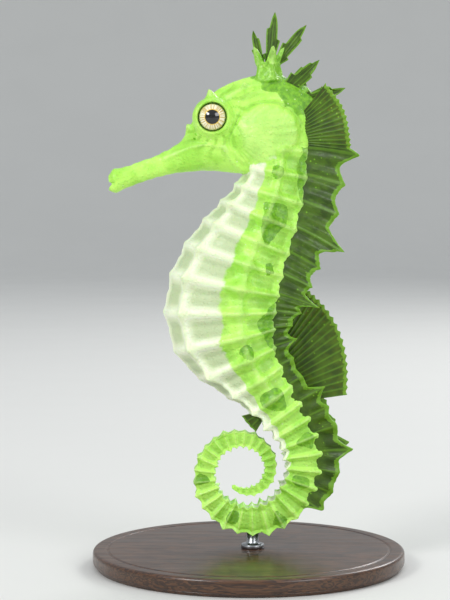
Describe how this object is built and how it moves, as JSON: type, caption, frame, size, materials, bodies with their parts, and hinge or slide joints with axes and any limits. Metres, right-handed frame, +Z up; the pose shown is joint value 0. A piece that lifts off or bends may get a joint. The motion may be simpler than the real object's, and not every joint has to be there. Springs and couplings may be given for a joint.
{
  "type": "seahorse model",
  "caption": "Life-size still model of a spiny, maned green seahorse, upright with its tail curled forward, on a round wooden display stand.",
  "frame": {"origin": "centre of the underside of the round stand base", "axes": "+Z up; -X the way the animal faces; -Y the animal's left side"},
  "size_m": [0.062, 0.062, 0.1096],
  "materials": {
    "skin": "satin, ringed with bony plates, lime green with a pale belly",
    "fin": "satin, thin olive skin over rays",
    "eye": "wet gloss",
    "base": "dark stained, satin varnish",
    "rod": "brushed"
  },
  "bodies": {
    "root": {"head": "skin", "snout": "skin", "coronet": "fin", "eye_left": "eye", "eye_right": "eye", "gill_cover_left": "skin", "gill_cover_right": "skin", "pectoral_fin_left": "fin", "pectoral_fin_right": "fin", "neck": "skin", "trunk_upper": "skin", "trunk_middle": "skin", "trunk_lower": "skin", "tail_1": "skin", "tail_2": "skin", "tail_3": "skin", "tail_4": "skin", "tail_5": "skin", "tail_6": "skin", "tail_7": "skin", "dorsal_fin": "fin", "anal_fin": "fin", "stand_base": "base", "stand_rod": "rod"}
  },
  "joints": []
}
